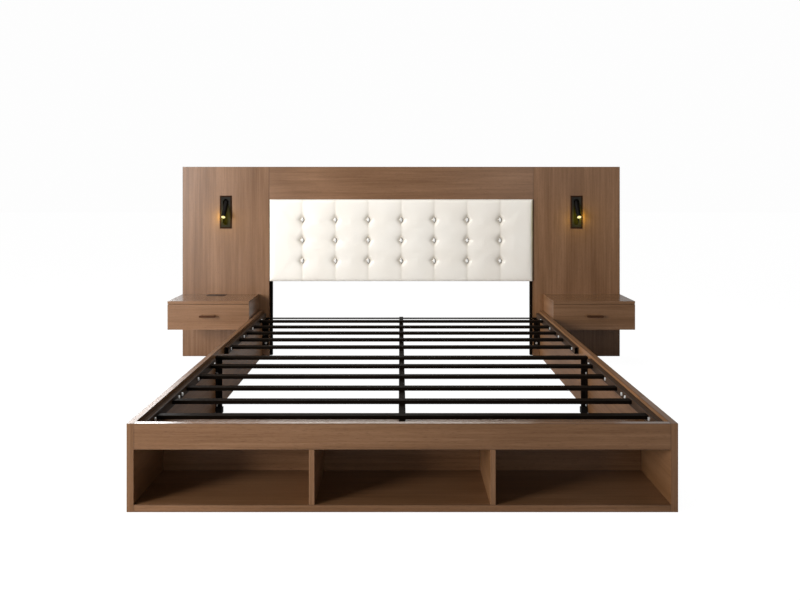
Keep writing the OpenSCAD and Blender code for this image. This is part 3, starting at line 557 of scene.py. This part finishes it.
def dress_metal():
    """The steel, its fasteners and feet, and the small plastic and bronze fittings."""
    black = powder_coat("black_powder_coat", STEEL_BLACK)
    rubbed = powder_coat("rubbed_powder_coat", STEEL_RUBBED, roughness=0.35, shine=0.05)
    lying = powder_coat("lying_powder_coat", STEEL_BLACK, roughness=0.35, shine=0.006)
    for name in STEEL_NODES:
        dress(name, black, STEEL_EDGE, facing=("z", lying), worn=rubbed)
    # The ledges' paint is the black steel made lighter, a painted sheen
    ledge = powder_coat("ledge_powder_coat_painted_sheen", LEDGE_PAINTED_SHEEN, roughness=0.42, shine=0.012)
    dress("deck_ledges", ledge, STEEL_EDGE, worn=rubbed)
    dress("deck_brackets", black, FINE_EDGE, worn=rubbed)
    dress("leg_feet", plastic("foot_plastic", PLASTIC_BLACK, shine=0.1), ROUND_EDGE)
    dress("deck_bolts", plated("bright_bolts", BRIGHT, roughness=0.3, metal=0.55), BOLT_EDGE)
    dress("headboard_screws", plated("bright_plating", BRIGHT), FINE_EDGE)
    zinc = plated("zinc_plating", ZINC, roughness=0.3)
    bronze = powder_coat("dark_bronze", BRONZE, roughness=0.4, shine=0.06)
    for side in SIDES:
        for part in ("fixed", "middle", "drawer"):
            dress(side + "_runner_" + part, zinc, RUNNER_EDGE)
        dress(side + "_drawer_handle", bronze, ROUND_EDGE, segments=3)
    dress("socket_panel", plastic("socket_satin", SOCKET_BROWN, low=0.35, high=0.45), FINE_EDGE)


# ---- Making new pieces ----

def new_object(name, mesh, material, body):
    """A finished mesh as an object that rides on a body."""
    obj = bpy.data.objects.new(name, mesh)
    scene.collection.objects.link(obj)
    mesh.materials.append(material)
    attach(obj, body)
    return obj


def solids_of(name):
    """The low and high corners of each separate solid in a CAD node."""
    bm = bmesh.new()
    bm.from_mesh(nodes[name].data)
    bmesh.ops.remove_doubles(bm, verts=bm.verts, dist=WELD)
    seen = set()
    boxes = []
    for start in bm.verts:
        if start in seen:
            continue
        stack = [start]
        seen.add(start)
        group = []
        while stack:
            vert = stack.pop()
            group.append(vert.co.copy())
            for edge in vert.link_edges:
                other = edge.other_vert(vert)
                if other not in seen:
                    seen.add(other)
                    stack.append(other)
        boxes.append((Vector(map(min, zip(*group))), Vector(map(max, zip(*group)))))
    bm.free()
    return boxes


# ---- Cushion ----

CHANNELS = 8
ROWS = 4
CELLS_ACROSS = 22
CELLS_UP = 14
CUSHION_EDGE = 15 * MM
CUSHION_SIDE = 12 * MM
CUSHION_FACE = 27.6 * MM
# Places of extra lines of points across the rounded edge, as shares of it
RIM_MARKS = (0.0, 0.12, 0.3, 0.6)
RIM_CLEAR = 0.9
SEAM_DEPTH = 1.7 * MM
SEAM_WIDTH = 7 * MM
# Share of painted shade in a seam's fold
SEAM_SHADE = 0.30
SEWN_WIDTH = 0.1 * MM
SEAT_FACE = 15.0 * MM
SEAT_MARGIN = 2.5 * MM
TUFT_NEAR = 8.5 * MM
TUFT_REACH = 48 * MM
TUFT_FAR_SHARE = 0.16
# Shares of painted shade close round a button and on the side walls
TUFT_SHADE = 0.75
WALL_SHADE = 0.3
# Rings of the side walls: share of the side's depth, and how far they draw in
WALL_RINGS = ((0.55, 0.0), (0.12, 0.0), (0.0, 2.0 * MM))
SWELL_FRAMES = 20
SWELL_CAP = 3 * MM
CLOTH = {
    "quality": 5,
    "mass": 0.2,
    "air_damping": 3.0,
    "tension_stiffness": 40.0,
    "compression_stiffness": 40.0,
    "shear_stiffness": 15.0,
    "bending_stiffness": 2.0,
    "shrink_min": -0.0008,
    "use_pressure": True,
    "uniform_pressure_force": 0.55,
}


def nearest_line(place, pitch, count):
    """Distance to the nearest inner multiple of a pitch."""
    return abs(place - pitch * min(max(round(place / pitch), 1), count - 1))


def cushion_surface(u, v, width, height, seat):
    """The cover's height before it swells, its share of painted shade in the folds, and whether it
    is sewn there.
    """
    across = nearest_line(u, width / CHANNELS, CHANNELS)
    up = nearest_line(v, height / ROWS, ROWS)
    away = math.hypot(across, up)
    reach = across / seat[0] + up / seat[1]
    outside = away - away / reach if reach > 1 else 0.0
    near = math.exp(-outside / TUFT_NEAR)
    far = max(0.0, 1 - outside / TUFT_REACH) ** 2
    tuft = near * (1 - TUFT_FAR_SHARE) + far * TUFT_FAR_SHARE
    seam = math.exp(-across / SEAM_WIDTH)
    full = CUSHION_FACE - SEAM_DEPTH * seam
    full += (SEAT_FACE - full) * tuft
    edge = min(u, v, width - u, height - v)
    share = 1.0
    if edge < CUSHION_EDGE:
        share = math.sqrt(max(0.0, 1 - (1 - edge / CUSHION_EDGE) ** 2))
    # Painted shade gathers along the seams and close round the buttons
    crease_shade = min(1.0, SEAM_SHADE * seam + TUFT_SHADE * near)
    sewn = across < SEWN_WIDTH or reach <= 1
    return CUSHION_SIDE + (full - CUSHION_SIDE) * share, crease_shade, sewn


def marks(length, cells):
    """Places of the cover's lines of points along one side: even, and closer round its edge."""
    rim = [CUSHION_EDGE * share for share in RIM_MARKS]
    clear = CUSHION_EDGE * RIM_CLEAR
    inner = [length * k / cells for k in range(1, cells)
             if clear < length * k / cells < length - clear]
    return rim + inner + [length - place for place in reversed(rim)]


def swell(places, faces, sewn):
    """Pads a cover out with cloth simulation between the points where it is sewn down."""
    mesh = bpy.data.meshes.new("cover")
    mesh.from_pydata(places, [], faces)
    cover = bpy.data.objects.new("cover", mesh)
    scene.collection.objects.link(cover)
    group = cover.vertex_groups.new(name="sewn")
    group.add(sewn, 1.0, "REPLACE")
    cloth = cover.modifiers.new("cloth", "CLOTH")
    for key, value in CLOTH.items():
        setattr(cloth.settings, key, value)
    cloth.settings.effector_weights.gravity = 0.0
    cloth.settings.vertex_group_mass = group.name
    cloth.point_cache.frame_start = 1
    cloth.point_cache.frame_end = SWELL_FRAMES
    for step in range(1, SWELL_FRAMES + 1):
        scene.frame_set(step)
    padded = cover.evaluated_get(bpy.context.evaluated_depsgraph_get()).data
    swollen = []
    for before, after in zip(mesh.vertices, padded.vertices):
        move = after.co - before.co
        if move.length > SWELL_CAP:
            move *= SWELL_CAP / move.length
        swollen.append(before.co + move)
    bpy.data.objects.remove(cover)
    bpy.data.meshes.remove(mesh)
    scene.frame_set(1)
    return swollen


def make_cover(low, high):
    """The cover's points, shares of painted shade and faces, row by row from the lowest, and its
    columns and rows.
    """
    width, height = high.x - low.x, high.z - low.z
    button_low, button_high = solids_of("cushion_buttons")[0]
    seat = ((button_high.x - button_low.x) / 2 + SEAT_MARGIN,
            (button_high.z - button_low.z) / 2 + SEAT_MARGIN)
    us = marks(width, CHANNELS * CELLS_ACROSS)
    vs = marks(height, ROWS * CELLS_UP)
    places, crease_shades, sewn = [], [], []
    for v in vs:
        for u in us:
            depth, crease_shade, is_sewn = cushion_surface(u, v, width, height, seat)
            if is_sewn or u in (us[0], us[-1]) or v in (vs[0], vs[-1]):
                sewn.append(len(places))
            places.append(Vector((low.x + u, high.y - depth, low.z + v)))
            crease_shades.append(crease_shade)
    row = len(us)
    faces = [(k, k + 1, k + row + 1, k + row) for j in range(len(vs) - 1)
             for k in range(j * row, j * row + row - 1)]
    places = swell(places, faces, sewn)
    return places, crease_shades, faces, row, len(vs)


def close_cushion(places, crease_shades, faces, row, rows, low, high):
    """Adds the side walls, from the cover's border inward, and the back."""
    width, height = high.x - low.x, high.z - low.z
    centre = (low + high) / 2
    top = (rows - 1) * row
    border = (list(range(row))
              + [j * row + row - 1 for j in range(1, rows)]
              + [top + i for i in range(row - 2, -1, -1)]
              + [j * row for j in range(rows - 2, 0, -1)])
    ring = border
    for depth, shrink in WALL_RINGS:
        inner = []
        for k in border:
            edge = places[k]
            x = edge.x - shrink * (edge.x - centre.x) / (width / 2)
            z = edge.z - shrink * (edge.z - centre.z) / (height / 2)
            inner.append(len(places))
            places.append(Vector((x, high.y - depth * CUSHION_SIDE, z)))
            crease_shades.append(WALL_SHADE * (1 - depth))
        faces += [(ring[n - 1], inner[n - 1], inner[n], ring[n]) for n in range(len(border))]
        ring = inner
    # The back in upright strips, with the side walls' points in the two outermost
    last = row - 1
    upper_end = last + rows - 1
    left_wall = ring[upper_end + row:]
    right_wall = ring[row:upper_end]
    upper = ring[upper_end:upper_end + row][::-1]
    faces += [(ring[i + 1], ring[i], upper[i], upper[i + 1]) for i in range(1, last - 1)]
    faces.append(tuple([ring[1], ring[0]] + left_wall[::-1] + [upper[0], upper[1]]))
    faces.append(tuple([ring[last], ring[last - 1], upper[last - 1], upper[last]]
                       + right_wall[::-1]))


def make_cushion(material):
    """The buttoned cushion: a sewn cover, padded out, over a flat back."""
    low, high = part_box("headboard_cushion")
    places, crease_shades, faces, row, rows = make_cover(low, high)
    close_cushion(places, crease_shades, faces, row, rows, low, high)
    mesh = bpy.data.meshes.new("cushion")
    mesh.from_pydata(places, [], faces)
    # Each point's share of painted shade, read by the leather
    attribute = mesh.attributes.new("crease_shade", "FLOAT", "POINT")
    attribute.data.foreach_set("value", crease_shades)
    for polygon in mesh.polygons:
        polygon.use_smooth = len(polygon.vertices) == 4
    cushion = new_object("cushion", mesh, material, "root")
    finer = cushion.modifiers.new("finer", "SUBSURF")
    finer.levels = 1
    finer.render_levels = 1
    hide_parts("headboard_cushion")


# ---- Crystal buttons ----

STONE_SIDES = 8
CUP_SIDES = 32
# Rings of a stone's facets: share of the rhombus and of the height, and turn in shares of a side
STONE_RINGS = ((0.80, 0.10, 0.0), (0.80, 0.50, 0.0), (0.72, 0.80, 0.5), (0.58, 1.0, 0.0))
# Rings of a cup: share of the rhombus and share of the height
CUP_RINGS = ((0.70, 0.0), (0.97, 0.04), (1.0, 0.20), (0.97, 0.42), (0.84, 0.48), (0.80, 0.12))
SMOOTH_ANGLE = math.radians(35)


def rhombus_ring(bm, centre, half, share, y, count, twist=0.0):
    """Points evenly placed by angle round an upright rhombus."""
    ring = []
    for k in range(count):
        angle = 2 * math.pi * (k + twist) / count
        across, up = math.cos(angle), math.sin(angle)
        scale = share / (abs(across) + abs(up))
        place = (centre.x + half.x * across * scale, y, centre.z + half.z * up * scale)
        ring.append(bm.verts.new(place))
    return ring


def make_stone(bm, centre, half, base, height):
    """A rhombic stone: an upright girdle, a crown of triangles and a flat table."""
    girdle_low, girdle, crown, table = (
        rhombus_ring(bm, centre, half, share, base - height * depth, STONE_SIDES, twist)
        for share, depth, twist in STONE_RINGS)
    for k in range(STONE_SIDES):
        n = (k + 1) % STONE_SIDES
        bm.faces.new((girdle_low[k], girdle_low[n], girdle[n], girdle[k]))
        bm.faces.new((girdle[k], girdle[n], crown[k]))
        bm.faces.new((girdle[n], crown[n], crown[k]))
        bm.faces.new((crown[k], crown[n], table[n]))
        bm.faces.new((crown[k], table[n], table[k]))
    bm.faces.new(table)
    bm.faces.new(list(reversed(girdle_low)))


def make_cup(bm, centre, half, base, height):
    """A thin cup round a stone, closed at its back."""
    rings = [rhombus_ring(bm, centre, half, share, base - height * depth, CUP_SIDES)
             for share, depth in CUP_RINGS]
    for lower, upper in zip(rings, rings[1:]):
        for k in range(CUP_SIDES):
            n = (k + 1) % CUP_SIDES
            bm.faces.new((lower[k], lower[n], upper[n], upper[k]))
    bm.faces.new(list(reversed(rings[0])))


def finish_buttons(bm, name, material):
    """One object from all the stones or all the cups."""
    bmesh.ops.recalc_face_normals(bm, faces=bm.faces)
    mesh = bpy.data.meshes.new(name)
    bm.to_mesh(mesh)
    bm.free()
    obj = new_object(name, mesh, material, "root")
    return obj


def make_buttons(glass, metal):
    """Faceted crystals in thin silver cups, one at each button of the frame."""
    stones = bmesh.new()
    cups = bmesh.new()
    for low, high in solids_of("cushion_buttons"):
        centre = (low + high) / 2
        half = (high - low) / 2
        height = high.y - low.y
        make_stone(stones, centre, half, high.y, height)
        make_cup(cups, centre, half, high.y, height)
    crystals = finish_buttons(stones, "crystal_stones", glass)
    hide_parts("cushion_buttons")
    mesh = finish_buttons(cups, "crystal_cups", metal).data
    for polygon in mesh.polygons:
        polygon.use_smooth = True
    mesh.set_sharp_from_angle(angle=SMOOTH_ANGLE)


# ---- Lamps ----

LAMP_ANGLE = math.radians(42)
RIM_WIDTH = 7.5 * MM
LENS_STRENGTH = 0.95
# The light that a lens throws ahead of it, and the glow on the plate close to it
BEAM_POWER = 0.10
BEAM_AHEAD = 12 * MM
GLOW_POWER = 0.22
GLOW_ASIDE = 12 * MM
GLOW_GAP = 20 * MM
GLOW_RADIUS = 4 * MM
GLOW_COLOUR = (1.0, 0.86, 0.01)


def glow_light(name, place, power, body):
    """A small warm light that rides on a body and shows in no reflection."""
    data = bpy.data.lights.new(name, "POINT")
    data.energy = power
    data.color = GLOW_COLOUR
    data.shadow_soft_size = GLOW_RADIUS
    light = bpy.data.objects.new(name, data)
    scene.collection.objects.link(light)
    light.location = place
    light.visible_camera = False
    light.visible_glossy = False
    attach(light, body)


def make_lamps():
    """The lamps' finish, and the warm light that each lens throws round itself."""
    tube_paint = powder_coat("lamp_tube_black", LAMP_TUBE, roughness=0.4, shine=0.05)
    lens = glow("lamp_lens_glow", LENS_STRENGTH)
    for side, outward in SIDES.items():
        lamp = side + "_lamp"
        plate = lamp + "_housing"
        plate_paint = powder_coat(plate + "_black", LAMP_FIELD, roughness=0.5, shine=0.02,
                                  rim=(plate, RIM_WIDTH, LAMP_RIM_PAINTED_REFLECTION))
        dress(plate, plate_paint, LAMP_EDGE)
        dress(lamp + "_tube", tube_paint, LAMP_EDGE)
        dress(lamp + "_pin", tube_paint)
        dress(lamp + "_lens", lens)
        low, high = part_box(lamp + "_lens")
        centre = (low + high) / 2
        aim = Vector((0, -math.cos(LAMP_ANGLE), -math.sin(LAMP_ANGLE)))
        glow_light(lamp + "_beam", centre + aim * BEAM_AHEAD, BEAM_POWER, lamp)
        plate_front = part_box(plate)[0].y
        near_plate = Vector((centre.x + outward * GLOW_ASIDE, plate_front - GLOW_GAP, centre.z))
        glow_light(lamp + "_glow", near_plate, GLOW_POWER, lamp)


# ---- Stage: floor, lights and camera ----

FLOOR_SIZE = 60.0
FLOOR_PAINT = 0.75
FLOOR_WHITE = 0.985
FLOOR_SHADE = 0.10
FLOOR_GLOSS = 0.20
WORLD_FILL = 0.15
WORLD_DIM = 0.12
WORLD_BEHIND = 0.45
# Ranges over which the world dims to the right and brightens behind, along its directions
DIM_RANGE = (-0.5, 0.5)
BEHIND_RANGE = (0.3, 0.9)


def seen_directly(g):
    """A light path node, and 1 for what the camera or a glass shows."""
    path = g.add("ShaderNodeLightPath")
    seen = g.math("MAXIMUM", path.outputs["Is Camera Ray"], path.outputs["Is Transmission Ray"])
    return path, seen


def grey_diffuse(g, value):
    node = g.add("ShaderNodeBsdfDiffuse")
    g.fill(node, Color=(value, value, value, 1.0))
    return node.outputs[0]


def make_floor():
    """A white floor that keeps a faint shadow of the bed."""
    mesh = bpy.data.meshes.new("floor")
    half = FLOOR_SIZE / 2
    mesh.from_pydata([(-half, -half, 0), (half, -half, 0), (half, half, 0), (-half, half, 0)], [],
                     [(0, 1, 2, 3)])
    floor = bpy.data.objects.new("floor", mesh)
    scene.collection.objects.link(floor)
    g = new_graph("white_floor")
    output = g.tree.nodes["Material Output"]
    g.tree.nodes.remove(g.shader)
    white = g.add("ShaderNodeEmission")
    g.fill(white, Strength=FLOOR_WHITE)
    bright = g.add("ShaderNodeAddShader")
    g.feed(bright.inputs[0], white.outputs[0])
    g.feed(bright.inputs[1], grey_diffuse(g, FLOOR_SHADE))
    path, seen = seen_directly(g)
    mirrored = g.math("MULTIPLY", path.outputs["Is Glossy Ray"], FLOOR_GLOSS)
    blend = g.add("ShaderNodeMixShader")
    g.feed(blend.inputs[0], g.math("MAXIMUM", seen, mirrored))
    g.feed(blend.inputs[1], grey_diffuse(g, FLOOR_PAINT))
    g.feed(blend.inputs[2], bright.outputs[0])
    g.fill(output, Surface=blend.outputs[0])
    mesh.materials.append(g.owner)


def make_world():
    """A white studio that lights the bed from its left and, in reflections, from behind it."""
    world = bpy.data.worlds.new("studio")
    scene.world = world
    g = Graph(world, "Background")
    coords = g.add("ShaderNodeTexCoord")
    parts = g.add("ShaderNodeSeparateXYZ")
    g.fill(parts, Vector=coords.outputs["Generated"])
    side = g.spread(parts.outputs["X"], 1.0, WORLD_DIM, *DIM_RANGE)
    behind = g.spread(parts.outputs["Y"], 0.0, WORLD_BEHIND, *BEHIND_RANGE)
    path, seen = seen_directly(g)
    glossy = g.math("MULTIPLY", path.outputs["Is Glossy Ray"], g.math("MAXIMUM", side, behind))
    diffuse = g.math("MULTIPLY", path.outputs["Is Diffuse Ray"],
                     g.math("MULTIPLY", side, WORLD_FILL))
    clear = g.math("MULTIPLY", seen, FLOOR_WHITE)
    strength = g.math("MAXIMUM", g.math("MAXIMUM", glossy, diffuse), clear)
    g.fill(g.shader, Color=WHITE, Strength=strength)


# Name, place, the point it faces, width and height in metres, and power in watts
LIGHTS = (
    ("key", (-3.5, -3.1, 1.15), (-0.2, 0.4, 0.4), (1.2, 1.8), 178),
    ("side", (-3.0, -1.2, 1.5), (-0.2, 0.6, 0.4), (1.2, 1.2), 32),
    ("overhead", (-0.8, -0.2, 3.6), (0, 0.2, 0.3), (2.4, 2.4), 46),
    ("back_left", (-2.2, 2.2, 1.0), (-0.8, -1.0, 0.2), (1.0, 0.9), 18),
    ("back_high", (-0.4, 2.2, 1.9), (-0.2, -0.8, 0.25), (2.0, 0.9), 20),
    ("fill", (2.0, -4.6, 1.5), (0, 0.2, 0.4), (2.0, 1.6), 18),
)


def make_lights():
    """Soft rectangular lamps, kept out of the camera's view."""
    for name, place, target, size, power in LIGHTS:
        data = bpy.data.lights.new(name, "AREA")
        data.shape = "RECTANGLE"
        data.size, data.size_y = size
        data.energy = power
        light = bpy.data.objects.new(name, data)
        scene.collection.objects.link(light)
        light.location = place
        direction = Vector(target) - Vector(place)
        light.rotation_euler = direction.to_track_quat("-Z", "Y").to_euler()
        light.visible_camera = False


CAMERA_PLACE = (-0.0068, -3.2383, 0.9299)
CAMERA_LENS = 33.795
CAMERA_SENSOR = 36.0
CAMERA_SHIFT = -0.1355
CAMERA_LEVEL = (math.pi / 2, 0, 0)


def make_camera():
    data = bpy.data.cameras.new("camera")
    data.lens = CAMERA_LENS
    data.sensor_width = CAMERA_SENSOR
    data.shift_y = CAMERA_SHIFT
    camera = bpy.data.objects.new("camera", data)
    scene.collection.objects.link(camera)
    camera.location = CAMERA_PLACE
    camera.rotation_euler = CAMERA_LEVEL
    scene.camera = camera


make_camera()
make_world()
make_lights()
make_floor()
dress_boards()
dress_metal()
make_lamps()
make_cushion(leather("off_white_leather"))
make_buttons(crystal("crystal_glass"), plated("button_cup", CUP_GREY))
